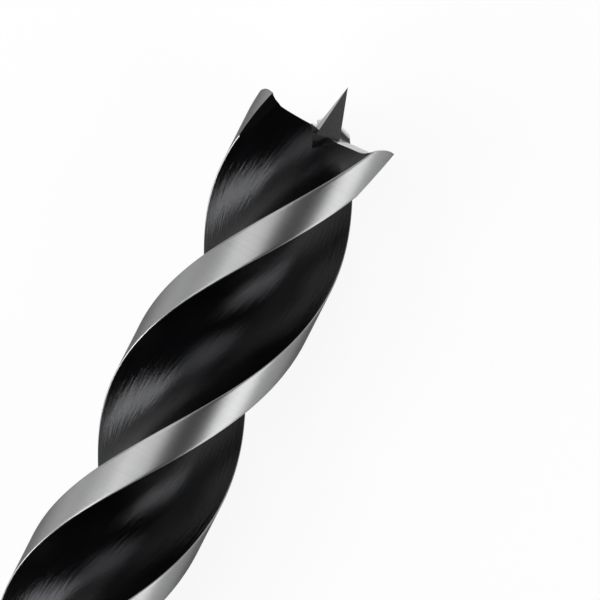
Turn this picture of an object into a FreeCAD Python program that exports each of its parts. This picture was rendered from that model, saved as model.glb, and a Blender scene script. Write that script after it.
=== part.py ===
import FreeCAD, Part
import math
import os

os.makedirs("parts", exist_ok=True)

# Three-flute auger drill bit, one piece of steel, with a slotted 10 mm hammer-drill shank.
# It is modelled upright first: the axis is local Z, the tip points up, and angles are
# counter-clockwise seen from the tip. At the end it is laid on its side, with the tip
# towards +X, the origin at the centre of the shank's end face and one flute facing up.

# Driving dimensions, in millimetres and degrees

bit_diameter = 30.0
overall_length = 300.0
flute_count = 3
flute_lead = 138.0            # travel of one land in one full turn, right hand
core_diameter = 10.8          # steel left between the bottoms of the flutes
land_angle = 29.4             # width of one land on the outer circle
front_flute_turn = 90.7       # turns the head so that one flute faces up
fluted_length = 176.0         # from the spur tips to the back of the full diameter
shoulder_angle = 32.0         # between the back cone and the axis
shoulder_fillet = 2.0         # between the cone and the shank

# Head: each wing is ground by one round-cornered wheel drawn across it
wheel_lag = 19.2              # wheel's plane behind the leading corner of the land
relief_angle = 8.6            # the ground face falls this much behind the lip
lip_drop = 2.08               # lips below the spur tips at mid-radius
lip_rise_angle = 4.0          # the lips rise gently outwards
spur_corner_radius = 4.2      # round corner of the wheel, inside the spur
spur_corner_place = 0.5       # the wheel's upright side stands outside the lands
spur_bevel_setback = 2.2      # bevel on the leading corner of each land, along the circle at the tip
spur_bevel_depth = 1.5        # and inwards along the lip
spur_bevel_length = 10.5      # it fades out this far below the tip
gash_start_reach = 0.5        # the gash starts this far behind the axis
gash_start_drop = 1.2         # and this far below the spur tips
gash_offset = 1.5             # its bottom line passes the axis at this distance
gash_slope = 38.5             # its bottom line falls outwards at this angle
gash_lead_turn = 22.5         # its direction ahead of the leading corner
gash_lip_side = 30.0          # lean of the gash wall under the inner lip
gash_back_side = 62.0         # lean of the other wall
point_height = 7.7            # centre point above the spur tips
point_base_radius = 3.25      # corner radius of the point at the lips
point_root = 3.8              # its sides run on below the lips, into the gashes
point_turn = 25.0             # point edges ahead of the leading corners

# Shank
shank_diameter = 10.0
nose_radius = 2.5             # flat end face
nose_cone_radius = 4.35       # where the end chamfer meets its rounding
nose_cone_length = 1.9
nose_length = 3.7             # end face to full diameter
lock_groove_width = 6.0       # closed grooves for the locking balls
lock_groove_floor = 6.56      # across the two floors
lock_groove_floor_radius = 6.6
lock_groove_start = 4.8       # from the end face
lock_groove_length = 21.0
lock_groove_corner = 0.5
lock_groove_turn = 29.0       # from straight up, towards +Y
drive_groove_width = 4.9      # open grooves that the chuck's keys drive
drive_groove_floor = 6.5      # across the two floors
drive_groove_floor_width = 4.0
drive_groove_length = 32.0
drive_groove_corner = 0.4
tool_margin = 2.0             # cutting shapes stand out of the steel by this much

# Derived sizes

bit_radius = bit_diameter / 2
core_radius = core_diameter / 2
shank_radius = shank_diameter / 2
spur_height = overall_length - point_height
flute_pitch_angle = 360.0 / flute_count
flute_angle = flute_pitch_angle - land_angle
back_of_flutes = spur_height - fluted_length
cone_foot = back_of_flutes - (bit_radius - shank_radius) / math.tan(math.radians(shoulder_angle))


def polar(radius, angle, height=0.0):
    turn = math.radians(angle)
    return FreeCAD.Vector(radius * math.cos(turn), radius * math.sin(turn), height)


def leading_angle(land):
    # leading corner of a land at the height of the spur tips
    return land * flute_pitch_angle - front_flute_turn - flute_angle / 2


def turned(shape, angle):
    copy = shape.copy()
    copy.rotate(FreeCAD.Vector(0, 0, 0), FreeCAD.Vector(0, 0, 1), angle)
    return copy


def revolved(points):
    # solid of revolution about local Z from (radius, height) points or arcs
    edges = []
    for start, end, middle in points:
        first = FreeCAD.Vector(start[0], 0, start[1])
        last = FreeCAD.Vector(end[0], 0, end[1])
        if middle is None:
            edges.append(Part.LineSegment(first, last).toShape())
        else:
            through = FreeCAD.Vector(middle[0], 0, middle[1])
            edges.append(Part.Arc(first, through, last).toShape())
    face = Part.Face(Part.Wire(edges))
    return face.revolve(FreeCAD.Vector(0, 0, 0), FreeCAD.Vector(0, 0, 1), 360)


def turned_shank():
    # end face, chamfer, rounding, plain shank and the fillet into the back cone
    step = shank_radius - nose_cone_radius
    round_length = nose_length - nose_cone_length
    nose_round = (step ** 2 + round_length ** 2) / (2 * step)
    half_bend = math.asin(round_length / nose_round) / 2
    blend = shank_radius - nose_round * (1 - math.cos(half_bend))
    blend_height = nose_length - nose_round * math.sin(half_bend)
    lean = math.radians(shoulder_angle)
    tangent = shoulder_fillet * math.tan(lean / 2)
    fillet_start = (shank_radius, cone_foot - tangent)
    fillet_end = (shank_radius + tangent * math.sin(lean), cone_foot + tangent * math.cos(lean))
    fillet_middle = (
        shank_radius + shoulder_fillet * (1 - math.cos(lean / 2)),
        cone_foot - tangent + shoulder_fillet * math.sin(lean / 2),
    )
    outline = [
        ((0, 0), (nose_radius, 0), None),
        ((nose_radius, 0), (nose_cone_radius, nose_cone_length), None),
        ((nose_cone_radius, nose_cone_length), (shank_radius, nose_length), (blend, blend_height)),
        ((shank_radius, nose_length), fillet_start, None),
        (fillet_start, fillet_end, fillet_middle),
        (fillet_end, (0, fillet_end[1]), None),
        ((0, fillet_end[1]), (0, 0), None),
    ]
    return revolved(outline)


def body_envelope():
    # the back cone, then clear of the lands up to the top
    reach = bit_radius + tool_margin
    cone_top = cone_foot + (reach - shank_radius) / math.tan(math.radians(shoulder_angle))
    top = overall_length + tool_margin * 2
    outline = [
        ((0, cone_foot), (shank_radius, cone_foot), None),
        ((shank_radius, cone_foot), (reach, cone_top), None),
        ((reach, cone_top), (reach, top), None),
        ((reach, top), (0, top), None),
        ((0, top), (0, cone_foot), None),
    ]
    return revolved(outline)


def body_section(first_leading_angle):
    # lands on the outer circle, joined by round flutes tangent to the core
    edges = []
    for land in range(flute_count):
        leading = first_leading_angle + land * flute_pitch_angle
        heel = leading - land_angle
        next_heel = leading + flute_angle
        land_top = polar(bit_radius, leading - land_angle / 2)
        flute_bottom = polar(core_radius, leading + flute_angle / 2)
        corner = polar(bit_radius, leading)
        land_arc = Part.Arc(polar(bit_radius, heel), land_top, corner)
        flute_arc = Part.Arc(corner, flute_bottom, polar(bit_radius, next_heel))
        edges.append(land_arc.toShape())
        edges.append(flute_arc.toShape())
    return Part.Wire(edges)


def fluted_body():
    # the section twisted along the axis, cut back to the cone behind the flutes
    bottom = cone_foot - tool_margin
    travel = overall_length + tool_margin - bottom
    section = body_section(leading_angle(0) + 360.0 * (bottom - spur_height) / flute_lead)
    axis = Part.LineSegment(FreeCAD.Vector(0, 0, 0), FreeCAD.Vector(0, 0, travel))
    spine = Part.Wire(axis.toShape())
    helix = Part.makeHelix(flute_lead, travel, bit_radius)
    sweep = Part.BRepOffsetAPI.MakePipeShell(spine)
    sweep.setAuxiliarySpine(helix, True, 0)
    sweep.add(section)
    sweep.build()
    sweep.makeSolid()
    body = sweep.shape()
    body.translate(FreeCAD.Vector(0, 0, bottom))
    return body.common(body_envelope())


def wheel_profile_face():
    # wheel section in the plane of local X and Z, drawn for a wing that points along X
    flat_slope = math.tan(math.radians(lip_rise_angle))
    mid = bit_radius / 2
    side = bit_radius + spur_corner_place
    turn_in = math.radians(lip_rise_angle)
    corner_x = side - spur_corner_radius
    floor_z = spur_height - lip_drop
    join_x = corner_x + spur_corner_radius * math.sin(turn_in)
    join_z = floor_z + (join_x - mid) * flat_slope
    centre_z = join_z + spur_corner_radius * math.cos(turn_in)
    half = (turn_in + math.pi / 2) / 2
    through_x = corner_x + spur_corner_radius * math.sin(half)
    through_z = centre_z - spur_corner_radius * math.cos(half)
    through = FreeCAD.Vector(through_x, 0, through_z)
    top = overall_length + bit_diameter
    first = FreeCAD.Vector(0, 0, floor_z - mid * flat_slope)
    join = FreeCAD.Vector(join_x, 0, join_z)
    upright = FreeCAD.Vector(side, 0, centre_z)
    edges = [
        Part.LineSegment(first, join).toShape(),
        Part.Arc(join, through, upright).toShape(),
        Part.LineSegment(upright, FreeCAD.Vector(side, 0, top)).toShape(),
        Part.LineSegment(FreeCAD.Vector(side, 0, top), FreeCAD.Vector(0, 0, top)).toShape(),
        Part.LineSegment(FreeCAD.Vector(0, 0, top), first).toShape(),
    ]
    return Part.Face(Part.Wire(edges))


def wing_sector(land):
    # one third of the head's space, from this wing's inner lip back to the next one
    start = leading_angle(land) + point_turn
    reach = bit_radius * 2
    bottom = spur_height - bit_radius
    top = overall_length + bit_diameter
    corners = [FreeCAD.Vector(0, 0, bottom)]
    corners.append(polar(reach, start, bottom))
    corners.append(polar(reach, start - flute_pitch_angle / 2, bottom))
    corners.append(polar(reach, start - flute_pitch_angle, bottom))
    corners.append(corners[0])
    return Part.Face(Part.makePolygon(corners)).extrude(FreeCAD.Vector(0, 0, top - bottom))


def wing_tool(land):
    # everything above the ground face of one wing
    fall = math.tan(math.radians(relief_angle))
    face = wheel_profile_face()
    reach = bit_diameter
    face.translate(FreeCAD.Vector(0, reach, reach * fall))
    tool = face.extrude(FreeCAD.Vector(0, -2 * reach, -2 * reach * fall))
    tool = turned(tool, leading_angle(land) - wheel_lag)
    return tool.common(wing_sector(land))


def spur_bevel_tool(land):
    # flat grind that takes the leading corner off the spur and fades out down the land's edge
    corner = leading_angle(land)
    setback = math.degrees(spur_bevel_setback / bit_radius)
    drop = math.degrees(spur_bevel_length * 2 * math.pi / flute_lead)
    tip = polar(bit_radius, corner - setback, spur_height)
    inner = polar(bit_radius - spur_bevel_depth, corner, spur_height)
    fade = polar(bit_radius, corner - drop, spur_height - spur_bevel_length)
    along = (tip - fade).normalize()
    outwards = (inner - tip).cross(along).normalize()
    if outwards.dot(polar(bit_radius, corner)) < 0:
        outwards = outwards * -1
    across = outwards.cross(along)
    reach = spur_bevel_depth + tool_margin
    start = fade - along * tool_margin
    end = tip + along * reach
    corners = [
        start - across * reach,
        end - across * reach,
        end + across * reach,
        start + across * reach,
        start - across * reach,
    ]
    return Part.Face(Part.makePolygon(corners)).extrude(outwards * reach)


def centre_point():
    # three-sided point, its edges run down into the inner ends of the lips
    base = spur_height - lip_drop
    foot = base - point_root
    spread = point_base_radius * (overall_length - foot) / (overall_length - base)
    tip = FreeCAD.Vector(0, 0, overall_length)
    corners = [polar(spread, leading_angle(land) + point_turn, foot) for land in range(flute_count)]
    sides = []
    for land in range(flute_count):
        ahead = corners[(land + 1) % flute_count]
        sides.append(Part.Face(Part.makePolygon([corners[land], ahead, tip, corners[land]])))
    sides.append(Part.Face(Part.makePolygon(corners + [corners[0]])))
    return Part.makeSolid(Part.makeShell(sides))


def gash_tool(land):
    # notch that thins the web in front of the inner lip and runs out in the flute
    reach = bit_radius
    lip_side = reach * math.tan(math.radians(gash_lip_side))
    back_side = reach * math.tan(math.radians(gash_back_side))
    corners = [
        FreeCAD.Vector(0, 0, 0),
        FreeCAD.Vector(0, -lip_side, reach),
        FreeCAD.Vector(0, back_side, reach),
        FreeCAD.Vector(0, 0, 0),
    ]
    section = Part.Face(Part.makePolygon(corners))
    tool = section.extrude(FreeCAD.Vector(reach, 0, 0))
    tool.rotate(FreeCAD.Vector(0, 0, 0), FreeCAD.Vector(0, 1, 0), gash_slope)
    tool.translate(FreeCAD.Vector(-gash_start_reach, gash_offset, spur_height - gash_start_drop))
    return turned(tool, leading_angle(land) + gash_lead_turn)


def groove_tool(profile, straight, start_round, end_round):
    # profile is half a groove section, (half width, distance from the axis) points and arcs
    edges = []
    for start, end, middle in profile:
        first = FreeCAD.Vector(start[0], start[1], 0)
        last = FreeCAD.Vector(end[0], end[1], 0)
        if middle is None:
            edges.append(Part.LineSegment(first, last).toShape())
        else:
            through = FreeCAD.Vector(middle[0], middle[1], 0)
            edges.append(Part.Arc(first, through, last).toShape())
    outer = profile[-1][1]
    floor = profile[0][0]
    outer_corner = FreeCAD.Vector(outer[0], outer[1], 0)
    outer_middle = FreeCAD.Vector(0, outer[1], 0)
    floor_middle = FreeCAD.Vector(0, floor[1], 0)
    edges.append(Part.LineSegment(outer_corner, outer_middle).toShape())
    edges.append(Part.LineSegment(outer_middle, floor_middle).toShape())
    half = Part.Face(Part.Wire(edges))
    mirrored = half.mirror(FreeCAD.Vector(0, 0, 0), FreeCAD.Vector(1, 0, 0))
    shapes = [
        half.extrude(FreeCAD.Vector(0, 0, straight)),
        mirrored.extrude(FreeCAD.Vector(0, 0, straight)),
    ]
    round_end = half.revolve(FreeCAD.Vector(0, 0, 0), FreeCAD.Vector(0, 1, 0), 360)
    if start_round:
        shapes.append(round_end.copy())
    if end_round:
        far = round_end.copy()
        far.translate(FreeCAD.Vector(0, 0, straight))
        shapes.append(far)
    tool = shapes[0].fuse(shapes[1:])
    return tool.removeSplitter()


def arc_between(start, end, radius, bulge):
    # middle point of the arc of this radius from start to end, on the bulge side
    mid_x = (start[0] + end[0]) / 2
    mid_y = (start[1] + end[1]) / 2
    chord_x = end[0] - start[0]
    chord_y = end[1] - start[1]
    chord = math.hypot(chord_x, chord_y)
    rise = radius - math.sqrt(radius ** 2 - (chord / 2) ** 2)
    return (mid_x + bulge * rise * chord_y / chord, mid_y - bulge * rise * chord_x / chord)


def lock_groove_tool():
    # round floor, then a corner arc tangent to the floor and to the upright wall
    half = lock_groove_width / 2
    floor = lock_groove_floor / 2
    bend = lock_groove_floor_radius
    bend_centre = floor + bend
    corner_x = half - lock_groove_corner
    corner_drop = math.sqrt((bend - lock_groove_corner) ** 2 - corner_x ** 2)
    scale = bend / (bend - lock_groove_corner)
    arc_end = (corner_x * scale, bend_centre - corner_drop * scale)
    wall_start = (half, bend_centre - corner_drop)
    wall_end = (half, bend_centre)
    corner = arc_between(arc_end, wall_start, lock_groove_corner, 1)
    profile = [
        ((0, floor), arc_end, arc_between((0, floor), arc_end, bend, 1)),
        (arc_end, wall_start, corner),
        (wall_start, wall_end, None),
    ]
    straight = lock_groove_length - lock_groove_width
    tool = groove_tool(profile, straight, True, True)
    tool.translate(FreeCAD.Vector(0, 0, lock_groove_start + half))
    return tool


def drive_groove_tool():
    half = drive_groove_width / 2
    floor = drive_groove_floor / 2
    flat = drive_groove_floor_width / 2 - drive_groove_corner
    wall_start = (drive_groove_floor_width / 2, floor + drive_groove_corner)
    surface = math.sqrt(shank_radius ** 2 - half ** 2)
    flare = (half - wall_start[0]) / (surface - wall_start[1])
    top = shank_radius + tool_margin
    wall_end = (wall_start[0] + flare * (top - wall_start[1]), top)
    corner = arc_between((flat, floor), wall_start, drive_groove_corner, 1)
    profile = [
        ((0, floor), (flat, floor), None),
        ((flat, floor), wall_start, corner),
        (wall_start, wall_end, None),
    ]
    straight = drive_groove_length - half + tool_margin
    tool = groove_tool(profile, straight, False, True)
    tool.translate(FreeCAD.Vector(0, 0, -tool_margin))
    return tool


def shank_grooves():
    # groove tools are drawn on local +Y, which ends up pointing down
    tools = []
    for side in (0, 180):
        lock = lock_groove_tool()
        tools.append(turned(lock, 180 + lock_groove_turn + side))
        drive = drive_groove_tool()
        tools.append(turned(drive, 90 + lock_groove_turn + side))
    return tools


def auger_bit():
    shape = fluted_body().fuse(turned_shank())
    head_tools = [wing_tool(land) for land in range(flute_count)]
    shape = shape.cut(head_tools)
    shape = shape.cut([spur_bevel_tool(land) for land in range(flute_count)])
    shape = shape.cut([gash_tool(land) for land in range(flute_count)])
    shape = shape.fuse(centre_point())
    shape = shape.cut(shank_grooves())
    return shape


def laid_down(shape):
    # local Z becomes +X and local -Y becomes straight up
    place = FreeCAD.Matrix(
        0, 0, 1, 0,
        -1, 0, 0, 0,
        0, -1, 0, 0,
        0, 0, 0, 1,
    )
    return shape.transformed(place)


bit = laid_down(auger_bit())
bit.exportStep("parts/auger_bit.step")
print("solids", len(bit.Solids), "faces", len(bit.Faces), "valid", bit.isValid())
print("volume mm3", round(bit.Volume, 1), "box", bit.BoundBox)
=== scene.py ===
import math

import bmesh
import bpy
from mathutils import Matrix, Vector


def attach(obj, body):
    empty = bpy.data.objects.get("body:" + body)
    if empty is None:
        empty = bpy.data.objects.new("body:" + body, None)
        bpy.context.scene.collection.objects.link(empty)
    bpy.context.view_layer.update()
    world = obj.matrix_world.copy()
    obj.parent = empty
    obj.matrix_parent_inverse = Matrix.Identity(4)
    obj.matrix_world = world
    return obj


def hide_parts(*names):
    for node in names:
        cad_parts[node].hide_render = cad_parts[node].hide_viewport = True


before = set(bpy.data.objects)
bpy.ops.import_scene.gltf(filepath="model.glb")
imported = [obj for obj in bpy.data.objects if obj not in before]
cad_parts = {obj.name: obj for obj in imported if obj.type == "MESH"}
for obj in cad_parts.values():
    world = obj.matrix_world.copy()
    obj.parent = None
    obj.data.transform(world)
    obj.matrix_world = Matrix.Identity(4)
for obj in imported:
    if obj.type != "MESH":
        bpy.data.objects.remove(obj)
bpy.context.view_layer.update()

print("frame loaded", sorted(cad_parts))

mm = 0.001


# Camera: looks down on the bit, with the tip towards the upper right

view = {
    "axisRoll": 62.92,        # degrees from the picture's horizontal to the bit's axis
    "tipLean": 3.816,         # degrees that the tip leans towards the camera
    "spursAt": 292.065,       # mm from the shank's end to the spurs' centre
    "aim": (5.6, 33.8),       # mm from the picture's centre to the spurs' centre, right and up
    "distance": 691.05,       # mm
    "lens": 216.0,            # mm
    "sensor": 36.0,           # mm
    "nearest": 0.01,          # metres, from here
    "farthest": 50.0,         # to here the camera sees
}


def addCamera():
    lean = math.radians(view["tipLean"])
    roll = math.radians(view["axisRoll"])
    forward = Vector((-math.sin(lean), 0, -math.cos(lean)))
    along = Vector((math.cos(lean), 0, -math.sin(lean)))
    across = Vector((0, 1, 0))
    right = along * math.cos(roll) - across * math.sin(roll)
    up = along * math.sin(roll) + across * math.cos(roll)
    target = Vector((view["spursAt"], 0, 0))
    place = target - right * view["aim"][0] - up * view["aim"][1] - forward * view["distance"]
    place = place * mm
    camera = bpy.data.objects.new("camera", bpy.data.cameras.new("camera"))
    bpy.context.scene.collection.objects.link(camera)
    camera.data.lens = view["lens"]
    camera.data.sensor_width = view["sensor"]
    camera.data.clip_start = view["nearest"]
    camera.data.clip_end = view["farthest"]
    camera.matrix_world = Matrix((
        (right.x, up.x, -forward.x, place.x),
        (right.y, up.y, -forward.y, place.y),
        (right.z, up.z, -forward.z, place.z),
        (0, 0, 0, 1),
    ))
    bpy.context.scene.camera = camera


addCamera()
print("camera placed")


# Node helpers

def addNode(tree, kind, **settings):
    node = tree.nodes.new(kind)
    for key, value in settings.items():
        setattr(node, key, value)
    return node


def setInputs(node, **values):
    # an underscore in a name stands for a space
    for key, value in values.items():
        node.inputs[key.replace("_", " ")].default_value = value


def calculate(tree, operation, *terms):
    # a term is a number or another node's output
    node = addNode(tree, "ShaderNodeMath", operation=operation)
    for socket, term in zip(node.inputs, terms):
        if isinstance(term, (int, float)):
            socket.default_value = term
        else:
            tree.links.new(term, socket)
    return node.outputs[0]


def splitVector(tree, vector):
    parts = addNode(tree, "ShaderNodeSeparateXYZ")
    tree.links.new(vector, parts.inputs["Vector"])
    return parts.outputs


def noiseAt(tree, vector, scale, detail, roughness=0.5):
    noise = addNode(tree, "ShaderNodeTexNoise")
    setInputs(noise, Scale=scale, Detail=detail, Roughness=roughness)
    tree.links.new(vector, noise.inputs["Vector"])
    return noise.outputs["Fac"]


def remap(tree, value, fromLow, fromHigh, toLow, toHigh):
    node = addNode(tree, "ShaderNodeMapRange")
    tree.links.new(value, node.inputs["Value"])
    setInputs(node, From_Min=fromLow, From_Max=fromHigh, To_Min=toLow, To_Max=toHigh)
    return node.outputs["Result"]


def stretched(tree, source, scale):
    # coordinates stretched so that noise runs in lines along the axis with the smallest number
    node = addNode(tree, "ShaderNodeVectorMath", operation="MULTIPLY")
    tree.links.new(source, node.inputs[0])
    node.inputs[1].default_value = scale
    return node.outputs["Vector"]


def mirroredShare(tree, path):
    # 1 for what is seen in metal or through glass
    return calculate(tree, "MAXIMUM", path.outputs["Is Glossy Ray"], path.outputs["Is Transmission Ray"])


def mixShaders(tree, share, first, second, output):
    mixed = addNode(tree, "ShaderNodeMixShader")
    tree.links.new(share, mixed.inputs["Fac"])
    tree.links.new(first.outputs[0], mixed.inputs[1])
    tree.links.new(second.outputs[0], mixed.inputs[2])
    tree.links.new(mixed.outputs[0], output.inputs["Surface"])


# The bit, in millimetres and degrees, upright with the tip on top, until it is laid on its side

body = {
    "diameter": 30.0,
    "length": 300.0,
    "pointHeight": 7.7,       # centre point above the spurs
    "flutes": 3,
    "lead": 138.0,            # height of one full turn
    "core": 10.8,             # steel left between the bottoms of the flutes
    "landAngle": 29.4,        # width of one land on the outer circle
    "frontFluteTurn": 90.7,   # turns one flute to face the camera
    "flutedLength": 176.0,    # from the spurs to the back of the full diameter
    "edgeRound": 0.22,        # along both edges of each land
    "edgeSteps": 4,           # mesh points on each edge
    "fluteSteps": 42,         # on each flute
    "landSteps": 14,          # and on each land
    "ringStep": 0.75,         # between the mesh's rings along the flutes
    "fineStep": 0.4,          # and where the flutes are cut again, at the head and the cone
}

radius = body["diameter"] / 2
coreRadius = body["core"] / 2
spurHeight = body["length"] - body["pointHeight"]
backOfFlutes = spurHeight - body["flutedLength"]
pitchAngle = 360.0 / body["flutes"]
fluteAngle = pitchAngle - body["landAngle"]


# Steel finishes: colour and roughness run from low to high with the noise, and grain gives how
# fine the noise is along the bit and across it

noiseLook = {
    "low": 0.3,               # the change runs from this value of the noise
    "high": 0.7,              # to this one
    "grainRoughness": 0.6,
    "cloudScale": 60.0,
    "cloudDetail": 3.0,
    "bumpDepth": 0.0002,      # metres
}

finishes = {
    "blackFlute": {
        "low": (0.0012, 0.0012, 0.0015), "high": (0.0025, 0.0025, 0.003),
        "metallic": 0.0, "specular": 0.2, "roughLow": 0.15, "roughHigh": 0.23, "edgeTint": (0.95, 0.96, 1.0),
        "grain": (200.0, 2200.0, 2200.0), "twisted": True, "grainDetail": 4.0, "bump": 0.42,
    },
    "groundLand": {
        "low": (0.275, 0.276, 0.278), "high": (0.30, 0.301, 0.303),
        "metallic": 1.0, "specular": 0.5, "roughLow": 0.32, "roughHigh": 0.37, "edgeTint": (0.3, 0.3, 0.3),
        "grain": (2600.0, 90.0, 90.0), "twisted": False, "grainDetail": 5.0, "bump": 0.012,
    },
    "groundHeadPaintedShade": {
        # painted shade: mm from the axis, and the share of the full colour there, dark near the axis and on
        # the spurs' rounds
        "rings": ((0.0, 0.05), (4.1, 0.05), (4.8, 1.0), (11.7, 1.0), (12.6, 0.06), (14.3, 0.06), (14.7, 1.0)),
        "paintedShadeEdge": {"scale": 400.0, "detail": 2.0, "uneven": 0.1},
        # further out than these distances in mm, one side of each wing keeps the full colour, without the
        # painted shade
        "paintedShadeLiftSide": {"turn": -12.0, "waveLow": -0.2, "waveHigh": 0.5, "from": 9.0, "to": 10.0},
        "low": (0.68, 0.68, 0.675), "high": (0.78, 0.78, 0.775),
        "metallic": 1.0, "specular": 0.5, "roughLow": 0.24, "roughHigh": 0.32, "edgeTint": (1.0, 1.0, 1.0),
        "grain": (900.0, 900.0, 900.0), "twisted": False, "grainDetail": 4.0, "bump": 0.02,
    },
    "darkPoint": {
        "low": (0.018, 0.0175, 0.018), "high": (0.026, 0.025, 0.0255),
        "metallic": 0.0, "specular": 0.75, "roughLow": 0.14, "roughHigh": 0.22, "edgeTint": (1.0, 1.0, 1.0),
        "grain": (400.0, 2200.0, 2200.0), "twisted": False, "grainDetail": 5.0, "bump": 0.04,
    },
    "mattBevel": {
        "low": (0.0006, 0.0006, 0.0006), "high": (0.0012, 0.0012, 0.0012),
        "metallic": 0.0, "specular": 0.01, "roughLow": 0.40, "roughHigh": 0.50, "edgeTint": (1.0, 1.0, 1.0),
        "grain": (90.0, 1400.0, 1400.0), "twisted": True, "grainDetail": 5.0, "bump": 0.05,
    },
    "blackShank": {
        "low": (0.003, 0.003, 0.0035), "high": (0.005, 0.005, 0.0055),
        "metallic": 0.0, "specular": 0.5, "roughLow": 0.06, "roughHigh": 0.12, "edgeTint": (1.0, 1.0, 1.0),
        "grain": (300.0, 300.0, 300.0), "twisted": False, "grainDetail": 3.0, "bump": 0.01,
    },
}


def variedBy(tree, noise, low, high):
    # runs from low to high with the noise
    return remap(tree, noise, noiseLook["low"], noiseLook["high"], low, high)


def untwisted(tree, place):
    # turns each slice of the bit back by its twist, so that a pattern follows the flutes
    back = -2 * math.pi / (body["lead"] * mm)
    node = addNode(tree, "ShaderNodeVectorRotate", rotation_type="X_AXIS")
    tree.links.new(place, node.inputs["Vector"])
    tree.links.new(calculate(tree, "MULTIPLY", splitVector(tree, place)["X"], back), node.inputs["Angle"])
    return node.outputs["Vector"]


def paintedShadeShare(tree, place, distance, look):
    # painted shade: share of the full colour by distance from the bit's axis, with slightly uneven edges
    edge = look["paintedShadeEdge"]
    uneven = edge["uneven"] * mm
    noise = noiseAt(tree, place, edge["scale"], edge["detail"])
    shifted = calculate(tree, "ADD", distance, variedBy(tree, noise, -uneven, uneven))
    ramp = addNode(tree, "ShaderNodeValToRGB")
    tree.links.new(remap(tree, shifted, 0.0, radius * mm, 0.0, 1.0), ramp.inputs["Fac"])
    stops = ramp.color_ramp.elements
    while len(stops) < len(look["rings"]):
        stops.new(1.0)
    for stop, (reach, share) in zip(stops, look["rings"]):
        stop.position = reach / radius
        stop.color = (share, share, share, 1)
    return ramp.outputs["Color"]


def paintedShadeLift(tree, place, distance, clear):
    # 1 on one side of each wing, where the painted shade is lifted, by a wave that rises once for each flute,
    # and 0 near the axis
    parts = splitVector(tree, place)
    around = calculate(tree, "ARCTAN2", parts["Y"], parts["Z"])
    turned = calculate(tree, "MULTIPLY_ADD", around, body["flutes"], math.radians(clear["turn"]))
    wave = calculate(tree, "SINE", turned)
    side = remap(tree, wave, clear["waveLow"], clear["waveHigh"], 0.0, 1.0)
    outside = remap(tree, distance, clear["from"] * mm, clear["to"] * mm, 0.0, 1.0)
    return calculate(tree, "MULTIPLY", side, outside)


def shadedByRings(tree, colour, place, look):
    # darkens the colour with painted shade in rings round the axis, lifted on one side of each wing
    radial = addNode(tree, "ShaderNodeVectorMath", operation="LENGTH")
    tree.links.new(stretched(tree, place, (0.0, 1.0, 1.0)), radial.inputs[0])
    distance = radial.outputs["Value"]
    rings = paintedShadeShare(tree, place, distance, look)
    share = calculate(tree, "MAXIMUM", rings, paintedShadeLift(tree, place, distance, look["paintedShadeLiftSide"]))
    shaded = addNode(tree, "ShaderNodeMix", data_type="RGBA", blend_type="MULTIPLY")
    shaded.inputs["Factor"].default_value = 1.0
    tree.links.new(colour, shaded.inputs["A"])
    tree.links.new(share, shaded.inputs["B"])
    return shaded.outputs["Result"]


def steelMaterial(name):
    look = finishes[name]
    material = bpy.data.materials.new(name)
    material.use_nodes = True
    tree = material.node_tree
    shader = tree.nodes["Principled BSDF"]
    setInputs(shader, Metallic=look["metallic"], Specular_IOR_Level=look["specular"])
    setInputs(shader, Specular_Tint=(*look["edgeTint"], 1))
    place = addNode(tree, "ShaderNodeTexCoord").outputs["Object"]
    along = untwisted(tree, place) if look["twisted"] else place
    lines = stretched(tree, along, look["grain"])
    grain = noiseAt(tree, lines, 1.0, look["grainDetail"], noiseLook["grainRoughness"])
    mixed = addNode(tree, "ShaderNodeMix", data_type="RGBA")
    setInputs(mixed, A=(*look["low"], 1), B=(*look["high"], 1))
    tree.links.new(variedBy(tree, grain, 0.0, 1.0), mixed.inputs["Factor"])
    colour = mixed.outputs["Result"]
    # the head's finish gets painted shade in its base colour
    if "rings" in look:
        colour = shadedByRings(tree, colour, place, look)
    tree.links.new(colour, shader.inputs["Base Color"])
    polish = grain
    if not look["twisted"]:
        polish = noiseAt(tree, place, noiseLook["cloudScale"], noiseLook["cloudDetail"])
    rough = variedBy(tree, polish, look["roughLow"], look["roughHigh"])
    tree.links.new(rough, shader.inputs["Roughness"])
    bump = addNode(tree, "ShaderNodeBump")
    setInputs(bump, Strength=look["bump"], Distance=noiseLook["bumpDepth"])
    tree.links.new(grain, bump.inputs["Height"])
    tree.links.new(bump.outputs["Normal"], shader.inputs["Normal"])
    return material


materials = [steelMaterial(name) for name in finishes]
finishIndex = {name: index for index, name in enumerate(finishes)}
print("finishes made", list(finishes))


# Mesh helpers

toolMargin = 2.0              # mm that a cutting shape stands out of the steel


def polar(distance, angle, height=0.0):
    turn = math.radians(angle)
    return Vector((distance * math.cos(turn), distance * math.sin(turn), height))


def arcPoints(centre, start, end, count):
    # count points from start up to, but not onto, end, the short way round the centre
    first = math.atan2(start[1] - centre[1], start[0] - centre[0])
    last = math.atan2(end[1] - centre[1], end[0] - centre[0])
    turn = (last - first + math.pi) % (2 * math.pi) - math.pi
    reach = math.hypot(start[0] - centre[0], start[1] - centre[1])
    points = []
    for step in range(count):
        angle = first + turn * step / count
        points.append((centre[0] + reach * math.cos(angle), centre[1] + reach * math.sin(angle)))
    return points


def levels(low, high, step):
    count = max(1, round((high - low) / step))
    return [low + (high - low) * index / count for index in range(count + 1)]


def meshObject(name, points, faces, faceFinishes):
    mesh = bpy.data.meshes.new(name)
    mesh.from_pydata([tuple(point) for point in points], [], faces)
    for material in materials:
        mesh.materials.append(material)
    mesh.polygons.foreach_set("material_index", [finishIndex[finish] for finish in faceFinishes])
    mesh.validate()
    shape = bmesh.new()
    shape.from_mesh(mesh)
    bmesh.ops.recalc_face_normals(shape, faces=shape.faces)
    shape.to_mesh(mesh)
    shape.free()
    made = bpy.data.objects.new(name, mesh)
    bpy.context.scene.collection.objects.link(made)
    return made


def discard(made):
    mesh = made.data
    bpy.data.objects.remove(made)
    bpy.data.meshes.remove(mesh)


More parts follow.
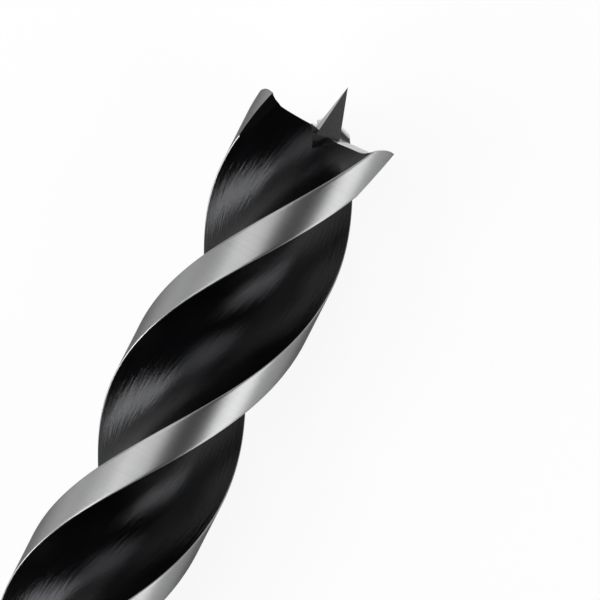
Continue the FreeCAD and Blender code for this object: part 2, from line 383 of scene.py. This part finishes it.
def combine(target, tool, operation):
    # a cut face takes the tool's finish
    modifier = target.modifiers.new("combine", "BOOLEAN")
    modifier.object = tool
    modifier.operation = operation
    modifier.solver = "EXACT"
    modifier.material_mode = "TRANSFER"
    bpy.context.view_layer.update()
    graph = bpy.context.evaluated_depsgraph_get()
    result = bpy.data.meshes.new_from_object(target.evaluated_get(graph))
    target.modifiers.clear()
    old = target.data
    target.data = result
    bpy.data.meshes.remove(old)
    discard(tool)
    return target


def turnedBy(angle, tool):
    tool.data.transform(Matrix.Rotation(math.radians(angle), 4, "Z"))
    return tool


def stackedRings(count, rings):
    # side faces between rings of count points, and a cap at each end
    faces = []
    for level in range(rings - 1):
        low = level * count
        for step in range(count):
            ahead = (step + 1) % count
            faces.append((low + step, low + ahead, low + count + ahead, low + count + step))
    faces.append(tuple(reversed(range(count))))
    faces.append(tuple(range(count * (rings - 1), count * rings)))
    return faces


def revolved(name, profile, sides, finish):
    # profile is (radius, height) points from the bottom up
    points = []
    for distance, height in profile:
        for step in range(sides):
            points.append(polar(distance, 360.0 * step / sides, height))
    faces = stackedRings(sides, len(profile))
    return meshObject(name, points, faces, [finish] * len(faces))


def prism(name, corners, push, finish):
    # closed prism from a flat outline and the vector that it is pushed along
    count = len(corners)
    points = list(corners) + [corner + push for corner in corners]
    faces = [tuple(reversed(range(count))), tuple(range(count, 2 * count))]
    for step in range(count):
        ahead = (step + 1) % count
        faces.append((step, ahead, count + ahead, count + step))
    return meshObject(name, points, faces, [finish] * len(faces))


# Flutes and lands: one section, turned as it rises

def twistAt(height):
    return 360.0 * (height - spurHeight) / body["lead"]


def leadingAngle(land):
    # place of a land's leading corner, level with the spurs
    return land * pitchAngle - body["frontFluteTurn"] - fluteAngle / 2


def bodySection():
    # one closed ring of (x, y, finish) with a small round along every land edge
    half = math.radians(fluteAngle / 2)
    chord = radius * math.cos(half)
    centreX = (radius ** 2 - coreRadius ** 2) / (2 * (chord - coreRadius))
    fluteRadius = centreX - coreRadius
    edge = body["edgeRound"]
    inner = radius - edge
    outer = fluteRadius + edge
    turn = math.acos((inner ** 2 + centreX ** 2 - outer ** 2) / (2 * centreX * inner))
    centre = (inner * math.cos(turn), inner * math.sin(turn))
    onLand = (radius * math.cos(turn), radius * math.sin(turn))
    onFlute = (centreX + (centre[0] - centreX) * fluteRadius / outer, centre[1] * fluteRadius / outer)
    lowCentre = (centre[0], -centre[1])
    lowLand = (onLand[0], -onLand[1])
    lowFlute = (onFlute[0], -onFlute[1])
    nextTurn = math.radians(pitchAngle)
    landEnd = (
        lowLand[0] * math.cos(nextTurn) - lowLand[1] * math.sin(nextTurn),
        lowLand[0] * math.sin(nextTurn) + lowLand[1] * math.cos(nextTurn),
    )
    runs = (
        ("groundLand", arcPoints(lowCentre, lowLand, lowFlute, body["edgeSteps"])),
        ("blackFlute", arcPoints((centreX, 0), lowFlute, onFlute, body["fluteSteps"])),
        ("groundLand", arcPoints(centre, onFlute, onLand, body["edgeSteps"])),
        ("groundLand", arcPoints((0, 0), onLand, landEnd, body["landSteps"])),
    )
    ring = []
    for flute in range(body["flutes"]):
        spin = Matrix.Rotation(math.radians(flute * pitchAngle), 3, "Z")
        for finish, run in runs:
            for x, y in run:
                spun = Vector((x, y, 0))
                spun.rotate(spin)
                ring.append((spun.x, spun.y, finish))
    return ring


def sweptBody(name, heights, capFinish):
    ring = bodySection()
    points = []
    for height in heights:
        turn = math.radians(-body["frontFluteTurn"] + twistAt(height))
        cosine, sine = math.cos(turn), math.sin(turn)
        for x, y, finish in ring:
            points.append((x * cosine - y * sine, x * sine + y * cosine, height))
    sideFinishes = [finish for x, y, finish in ring] * (len(heights) - 1)
    return meshObject(name, points, stackedRings(len(ring), len(heights)), sideFinishes + [capFinish] * 2)


# Head: three wings cut by a round-cornered wheel, their bevels and gashes, and the centre point

head = {
    "wheelLag": 19.2,         # the wheel's plane behind the land's leading corner
    "relief": 8.6,            # the ground face falls behind the lip
    "lipDrop": 2.08,          # lips below the spur tips
    "lipRise": 4.0,           # the lips rise outwards
    "spurCorner": 4.2,        # round corner of the wheel, inside the spur
    "spurCornerPlace": 0.5,   # the wheel's upright side stands outside the lands
    "cornerSteps": 24,
    "bevelSetback": 2.2,      # bevel along the circle at the tip
    "bevelDepth": 1.5,        # and inwards along the lip
    "bevelLength": 10.5,
    "gashStartReach": 0.5,    # the gash starts behind the axis
    "gashStartDrop": 1.2,     # and below the spur tips
    "gashOffset": 1.5,
    "gashSlope": 38.5,
    "gashLeadTurn": 22.5,
    "gashLipSide": 30.0,
    "gashBackSide": 62.0,
    "pointBase": 3.25,        # corner radius of the point at the lips
    "pointRoot": 3.8,         # its sides run on below the lips
    "pointTurn": 25.0,
    "cutStart": 278.0,        # height where the finer mesh of the head starts
    "wheelOverlap": 0.12,     # the wheel's cut passes the axis
    "sectorOverlap": 0.03,    # and so does each wing's third
    "sectorExcess": 0.0005,   # share of a third by which it passes the next
}


def wheelOutline():
    # the round-cornered wheel's section, drawn for a wing that points along X
    rise = math.radians(head["lipRise"])
    slope = math.tan(rise)
    middle = radius / 2
    side = radius + head["spurCornerPlace"]
    corner = head["spurCorner"]
    floor = spurHeight - head["lipDrop"]
    joinX = side - corner + corner * math.sin(rise)
    joinZ = floor + (joinX - middle) * slope
    centreZ = joinZ + corner * math.cos(rise)
    top = body["length"] + body["diameter"]
    inner = -head["wheelOverlap"]
    outline = [Vector((inner, 0, floor + (inner - middle) * slope))]
    for step in range(head["cornerSteps"] + 1):
        angle = rise + (math.pi / 2 - rise) * step / head["cornerSteps"]
        outline.append(Vector((
            side - corner + corner * math.sin(angle), 0, centreZ - corner * math.cos(angle),
        )))
    outline.append(Vector((side, 0, top)))
    outline.append(Vector((inner, 0, top)))
    return outline


def wingTool(land):
    # the wheel's cut, kept within this wing's third of the bit
    fall = math.tan(math.radians(head["relief"]))
    reach = body["diameter"]
    start = Vector((0, reach, reach * fall))
    outline = [point + start for point in wheelOutline()]
    tool = prism("wingTool", outline, start * -2, "groundHeadPaintedShade")
    turnedBy(leadingAngle(land) - head["wheelLag"], tool)
    first = leadingAngle(land) + head["pointTurn"]
    bottom = spurHeight - radius
    corners = [polar(-head["sectorOverlap"], first - pitchAngle / 2, bottom)]
    for share in (0, 0.5, 1 + head["sectorExcess"]):
        corners.append(polar(2 * reach, first - pitchAngle * share, bottom))
    sector = prism("wingSector", corners, Vector((0, 0, 2 * reach)), "blackFlute")
    return combine(tool, sector, "INTERSECT")


def bevelTool(land):
    corner = leadingAngle(land)
    setback = math.degrees(head["bevelSetback"] / radius)
    drop = 360.0 * head["bevelLength"] / body["lead"]
    tip = polar(radius, corner - setback, spurHeight)
    inner = polar(radius - head["bevelDepth"], corner, spurHeight)
    fade = polar(radius, corner - drop, spurHeight - head["bevelLength"])
    along = (tip - fade).normalized()
    outwards = (inner - tip).cross(along).normalized()
    if outwards.dot(polar(radius, corner)) < 0:
        outwards = -outwards
    across = outwards.cross(along)
    reach = head["bevelDepth"] + toolMargin
    start = fade - along * toolMargin
    end = tip + along * reach
    corners = [start - across * reach, end - across * reach, end + across * reach, start + across * reach]
    return prism("bevelTool", corners, outwards * reach, "mattBevel")


def gashTool(land):
    lean = math.tan(math.radians(head["gashLipSide"]))
    back = math.tan(math.radians(head["gashBackSide"]))
    corners = [Vector((0, 0, 0)), Vector((0, -radius * lean, radius)), Vector((0, radius * back, radius))]
    tool = prism("gashTool", corners, Vector((radius, 0, 0)), "blackFlute")
    tool.data.transform(Matrix.Rotation(math.radians(head["gashSlope"]), 4, "Y"))
    start = Vector((-head["gashStartReach"], head["gashOffset"], spurHeight - head["gashStartDrop"]))
    tool.data.transform(Matrix.Translation(start))
    return turnedBy(leadingAngle(land) + head["gashLeadTurn"], tool)


def centrePoint():
    base = spurHeight - head["lipDrop"]
    foot = base - head["pointRoot"]
    spread = head["pointBase"] * (body["length"] - foot) / (body["length"] - base)
    corners = []
    for land in range(body["flutes"]):
        corners.append(polar(spread, leadingAngle(land) + head["pointTurn"], foot))
    corners.append(Vector((0, 0, body["length"])))
    faces = [(2, 1, 0), (0, 1, 3), (1, 2, 3), (2, 0, 3)]
    return meshObject("centrePoint", corners, faces, ["darkPoint"] * len(faces))


def makeHead():
    top = body["length"] + toolMargin
    made = sweptBody("head", levels(head["cutStart"], top, body["fineStep"]), "groundHeadPaintedShade")
    for toolFor in (wingTool, bevelTool, gashTool):
        for land in range(body["flutes"]):
            combine(made, toolFor(land), "DIFFERENCE")
    combine(made, centrePoint(), "UNION")
    print("head cut", len(made.data.polygons), "faces")
    return made


# Shank, with two closed grooves, two open ones and a rounded end, and the cone above it

shank = {
    "diameter": 10.0,
    "noseRadius": 2.5,        # flat end face
    "noseConeRadius": 4.35,   # where the end's chamfer meets its rounding
    "noseConeLength": 1.9,
    "noseLength": 3.7,
    "noseSteps": 8,
    "lockWidth": 6.0,         # closed grooves
    "lockFloor": 6.56,        # across the two floors
    "lockFloorRadius": 6.6,
    "lockStart": 4.8,
    "lockLength": 21.0,
    "lockCorner": 0.5,
    "lockTurn": 29.0,
    "driveWidth": 4.9,        # open grooves
    "driveFloor": 6.5,        # across the two floors
    "driveFloorWidth": 4.0,
    "driveLength": 32.0,
    "driveCorner": 0.4,
    "driveStart": -8.0,       # the open grooves' cutting shapes start outside the end face
    "lockMargin": 3.0,        # the closed grooves' cutting shapes stand out of the steel
    "floorSteps": 10,
    "cornerSteps": 6,
    "endSteps": 24,           # round each groove's end
    "ringStep": 4.0,
    "sides": 160,
}

cone = {
    "angle": 32.0,            # between the cone and the axis
    "fillet": 2.0,            # between the cone and the shank
    "filletSteps": 12,
    "ringStep": 1.0,
    "blankMargin": 1.0,       # the cone's blank stands out of the lands
    "blankAbove": 3.0,        # and runs on above the mesh's top
    "below": 3.0,             # the mesh starts below the cone
    "above": 2.0,             # and ends above it
}

shankRadius = shank["diameter"] / 2
coneFoot = backOfFlutes - (radius - shankRadius) / math.tan(math.radians(cone["angle"]))
coneBottom = coneFoot - cone["below"]
coneTop = backOfFlutes + cone["above"]


def coneProfile(low, high):
    # plain shank, fillet and cone, as (radius, height) points
    lean = math.radians(cone["angle"])
    fillet = cone["fillet"]
    tangent = fillet * math.tan(lean / 2)
    profile = [(shankRadius, low)]
    for step in range(cone["filletSteps"] + 1):
        angle = lean * step / cone["filletSteps"]
        profile.append((
            shankRadius + fillet * (1 - math.cos(angle)),
            coneFoot - tangent + fillet * math.sin(angle),
        ))
    rim = radius + cone["blankMargin"]
    rimHeight = coneFoot + (rim - shankRadius) / math.tan(lean)
    for height in levels(profile[-1][1] + cone["ringStep"] / 2, rimHeight, cone["ringStep"]):
        profile.append((shankRadius + (height - coneFoot) * math.tan(lean), height))
    profile.append((rim, high))
    return profile


def makeCone():
    profile = coneProfile(coneBottom, coneTop + cone["blankAbove"])
    blank = revolved("cone", profile, shank["sides"], "blackShank")
    heights = levels(coneBottom - toolMargin, coneTop, body["fineStep"])
    swept = sweptBody("sweptBack", heights, "blackFlute")
    combine(blank, swept, "INTERSECT")
    print("cone cut", len(blank.data.polygons), "faces")
    return blank


def grooveTool(profile, low, high, turn):
    # groove with two round ends; profile is (half width, distance from the axis), floor's middle first
    steps = shank["endSteps"]
    rim = []
    for end, first in ((high, 0.0), (low, 180.0)):
        for step in range(steps + 1):
            angle = math.radians(first + 180.0 * step / steps)
            rim.append((math.cos(angle), math.sin(angle), end))
    count = len(rim)
    points = [Vector((0, profile[0][1], high)), Vector((0, profile[0][1], low))]
    for width, distance in profile[1:]:
        for cosine, sine, end in rim:
            points.append(Vector((width * cosine, distance, end + width * sine)))
    faces = []
    for step in range(count):
        ahead = (step + 1) % count
        near = 0 if step <= steps else 1
        far = 0 if ahead <= steps else 1
        if near == far:
            faces.append((near, 2 + step, 2 + ahead))
        else:
            faces.append((near, 2 + step, 2 + ahead, far))
    for level in range(len(profile) - 2):
        lower = 2 + level * count
        for step in range(count):
            ahead = (step + 1) % count
            faces.append((lower + step, lower + count + step, lower + count + ahead, lower + ahead))
    last = 2 + (len(profile) - 2) * count
    faces.append(tuple(range(last, last + count)))
    tool = meshObject("grooveTool", points, faces, ["blackShank"] * len(faces))
    return turnedBy(turn, tool)


def lockProfile():
    half = shank["lockWidth"] / 2
    bend = shank["lockFloorRadius"]
    corner = shank["lockCorner"]
    bendCentre = shank["lockFloor"] / 2 + bend
    cornerX = half - corner
    drop = math.sqrt((bend - corner) ** 2 - cornerX ** 2)
    floorEnd = math.asin(cornerX / (bend - corner))
    profile = []
    for step in range(shank["floorSteps"] + 1):
        angle = floorEnd * step / shank["floorSteps"]
        profile.append((bend * math.sin(angle), bendCentre - bend * math.cos(angle)))
    for step in range(1, shank["cornerSteps"] + 1):
        angle = floorEnd + (math.pi / 2 - floorEnd) * step / shank["cornerSteps"]
        profile.append((cornerX + corner * math.sin(angle), bendCentre - drop - corner * math.cos(angle)))
    profile.append((half, shankRadius + shank["lockMargin"]))
    return profile


def driveProfile():
    half = shank["driveWidth"] / 2
    floor = shank["driveFloor"] / 2
    corner = shank["driveCorner"]
    floorHalf = shank["driveFloorWidth"] / 2
    flat = floorHalf - corner
    surface = math.sqrt(shankRadius ** 2 - half ** 2)
    flare = (half - floorHalf) / (surface - floor - corner)
    top = shankRadius + toolMargin
    profile = [(0.0, floor)]
    for step in range(shank["cornerSteps"] + 1):
        angle = math.pi / 2 * step / shank["cornerSteps"]
        profile.append((flat + corner * math.sin(angle), floor + corner - corner * math.cos(angle)))
    profile.append((floorHalf + flare * (top - floor - corner), top))
    return profile


def noseProfile():
    inset = shankRadius - shank["noseConeRadius"]
    run = shank["noseLength"] - shank["noseConeLength"]
    bend = (inset ** 2 + run ** 2) / (2 * inset)
    start = math.asin(run / bend)
    profile = [(shank["noseRadius"], 0.0)]
    for step in range(shank["noseSteps"] + 1):
        angle = start * (1 - step / shank["noseSteps"])
        profile.append((
            shankRadius - bend * (1 - math.cos(angle)), shank["noseLength"] - bend * math.sin(angle),
        ))
    return profile


def makeShank():
    profile = noseProfile()
    for height in levels(shank["noseLength"], coneBottom, shank["ringStep"])[1:]:
        profile.append((shankRadius, height))
    made = revolved("shank", profile, shank["sides"], "blackShank")
    lockHalf = shank["lockWidth"] / 2
    lockLow = shank["lockStart"] + lockHalf
    lockHigh = shank["lockStart"] + shank["lockLength"] - lockHalf
    driveHigh = shank["driveLength"] - shank["driveWidth"] / 2
    for side in (0, 180):
        lock = grooveTool(lockProfile(), lockLow, lockHigh, 180 + shank["lockTurn"] + side)
        combine(made, lock, "DIFFERENCE")
        drive = grooveTool(driveProfile(), shank["driveStart"], driveHigh, 90 + shank["lockTurn"] + side)
        combine(made, drive, "DIFFERENCE")
    print("shank grooved", len(made.data.polygons), "faces")
    return made


# The whole bit: its four stretches are joined ring to ring, without the faces between them

joining = {
    "weld": 0.002,            # mm within which points become one
    "level": 0.0001,          # mm that a face between two stretches may tilt
    "near": 0.001,            # mm that it may be from their meeting height
    "upright": 0.99,          # least height of its normal
    "sharpAngle": 24.0,       # shading breaks where faces meet at more
}


def isBetween(face, heights):
    corners = [vert.co.z for vert in face.verts]
    if max(corners) - min(corners) > joining["level"] or abs(face.normal.z) < joining["upright"]:
        return False
    return any(abs(corners[0] - height) < joining["near"] for height in heights)


def makeBit():
    parts = [
        makeShank(),
        makeCone(),
        sweptBody("middle", levels(coneTop, head["cutStart"], body["ringStep"]), "groundLand"),
        makeHead(),
    ]
    meetings = (coneBottom, coneTop, head["cutStart"])
    whole = bmesh.new()
    for part in parts:
        piece = bmesh.new()
        piece.from_mesh(part.data)
        inner = [face for face in piece.faces if isBetween(face, meetings)]
        bmesh.ops.delete(piece, geom=inner, context="FACES_ONLY")
        kept = bpy.data.meshes.new("kept")
        piece.to_mesh(kept)
        piece.free()
        whole.from_mesh(kept)
        bpy.data.meshes.remove(kept)
        discard(part)
    bmesh.ops.remove_doubles(whole, verts=whole.verts, dist=joining["weld"])
    bmesh.ops.recalc_face_normals(whole, faces=whole.faces)
    # from millimetres, upright, to metres, with the tip along X
    laidDown = Matrix((
        (0, 0, mm, 0),
        (-mm, 0, 0, 0),
        (0, -mm, 0, 0),
        (0, 0, 0, 1),
    ))
    bmesh.ops.transform(whole, matrix=laidDown, verts=whole.verts)
    openEdges = [edge for edge in whole.edges if len(edge.link_faces) != 2]
    print("bit joined", len(openEdges), "open edges")
    mesh = bpy.data.meshes.new("augerBit")
    whole.to_mesh(mesh)
    whole.free()
    for material in materials:
        mesh.materials.append(material)
    mesh.shade_smooth()
    mesh.set_sharp_from_angle(angle=math.radians(joining["sharpAngle"]))
    bit = bpy.data.objects.new("augerBit", mesh)
    bpy.context.scene.collection.objects.link(bit)
    return bit


bit = makeBit()
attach(bit, "root")
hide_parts("auger_bit")
print("bit made", len(bit.data.polygons), "faces", len(bit.data.loop_triangles), "triangles")


# Floor

floorLook = {
    "half": 6.0,              # metres
    "colour": (0.92, 0.92, 0.92),
    "white": 0.9,             # share of plain white that the camera sees
    "mirroredWhite": 0.25,    # share that metal mirrors
}


def addFloor():
    half = floorLook["half"]
    height = -radius * mm
    mesh = bpy.data.meshes.new("floor")
    corners = [(-half, -half, height), (half, -half, height), (half, half, height), (-half, half, height)]
    mesh.from_pydata(corners, [], [(0, 1, 2, 3)])
    floor = bpy.data.objects.new("floor", mesh)
    bpy.context.scene.collection.objects.link(floor)
    material = bpy.data.materials.new("paleFloor")
    material.use_nodes = True
    tree = material.node_tree
    tree.nodes.clear()
    diffuse = addNode(tree, "ShaderNodeBsdfDiffuse")
    setInputs(diffuse, Color=(*floorLook["colour"], 1))
    glow = addNode(tree, "ShaderNodeEmission")
    path = addNode(tree, "ShaderNodeLightPath")
    seen = calculate(tree, "MULTIPLY", path.outputs["Is Camera Ray"], floorLook["white"])
    share = calculate(tree, "MULTIPLY_ADD", mirroredShare(tree, path), floorLook["mirroredWhite"], seen)
    mixShaders(tree, share, diffuse, glow, addNode(tree, "ShaderNodeOutputMaterial"))
    mesh.materials.append(material)


addFloor()
print("floor laid")


# Lamps: soft boxes around the bit. Angle is from straight up towards the picture's right, and
# lean towards the tip. Spread and depth are how wide a box looks from the bit, across and along
# it, and light is how bright.

lamps = {
    "rightBox": {"angle": 66, "spread": 35, "lean": -6, "depth": 32, "light": 3.35},
    "leftBox": {"angle": -24, "spread": 43, "lean": -4, "depth": 33, "light": 2.15},
    "lowLeftBox": {"angle": -66, "spread": 36, "lean": -3, "depth": 30, "light": 0.6},
    "fluteBox": {"angle": -58, "spread": 32, "lean": -40, "depth": 42, "light": 7.8},
    "frontBox": {"angle": 45, "spread": 88, "lean": 32, "depth": 34, "light": 0.4},
    "backBox": {"angle": -52, "spread": 74, "lean": 42, "depth": 40, "light": 0.6},
    "tipBox": {"angle": 0, "spread": 60, "lean": 62, "depth": 30, "light": 1.2},
}
lampDistance = 1.1            # metres
lampTarget = (0.24, 0, 0)     # metres, the point of the axis that the lamps face


def addLamp(name, look):
    angle = math.radians(look["angle"])
    lean = math.radians(look["lean"])
    data = bpy.data.lights.new(name, "AREA")
    data.shape = "RECTANGLE"
    data.size = 2 * lampDistance * math.tan(math.radians(look["depth"] / 2))
    data.size_y = 2 * lampDistance * math.tan(math.radians(look["spread"] / 2))
    # a lamp's radiance is its power over its area times pi
    data.energy = look["light"] * data.size * data.size_y * math.pi
    lamp = bpy.data.objects.new(name, data)
    bpy.context.scene.collection.objects.link(lamp)
    target = Vector(lampTarget)
    away = Vector((math.sin(lean), -math.sin(angle) * math.cos(lean), math.cos(angle) * math.cos(lean)))
    lamp.location = target + away * lampDistance
    back = (lamp.location - target).normalized()
    upwards = back.cross(Vector((1, 0, 0))).normalized()
    side = upwards.cross(back)
    lamp.rotation_mode = "QUATERNION"
    lamp.rotation_quaternion = Matrix((side, upwards, back)).transposed().to_quaternion()
    lamp.visible_camera = False


for lampName, lampLook in lamps.items():
    addLamp(lampName, lampLook)
print("lamps placed", list(lamps))


# World: dim all round, white to the camera, and a white band above the horizon in the metal

worldLook = {
    "light": 0.03,
    "whiteBelow": 0.04,       # the band is white below this height of a direction
    "darkAbove": 0.18,        # and gone above this one
}


def addWorld():
    world = bpy.data.worlds.new("studio")
    world.use_nodes = True
    tree = world.node_tree
    tree.nodes.clear()
    dim = addNode(tree, "ShaderNodeBackground")
    setInputs(dim, Color=(1, 1, 1, 1), Strength=worldLook["light"])
    white = addNode(tree, "ShaderNodeBackground")
    setInputs(white, Color=(1, 1, 1, 1))
    path = addNode(tree, "ShaderNodeLightPath")
    height = splitVector(tree, addNode(tree, "ShaderNodeTexCoord").outputs["Generated"])["Z"]
    low = remap(tree, height, worldLook["whiteBelow"], worldLook["darkAbove"], 1.0, 0.0)
    band = calculate(tree, "MULTIPLY", mirroredShare(tree, path), low)
    share = calculate(tree, "MAXIMUM", path.outputs["Is Camera Ray"], band)
    mixShaders(tree, share, dim, white, addNode(tree, "ShaderNodeOutputWorld"))
    bpy.context.scene.world = world


addWorld()
bpy.context.scene.view_settings.view_transform = "Standard"
print("world set")
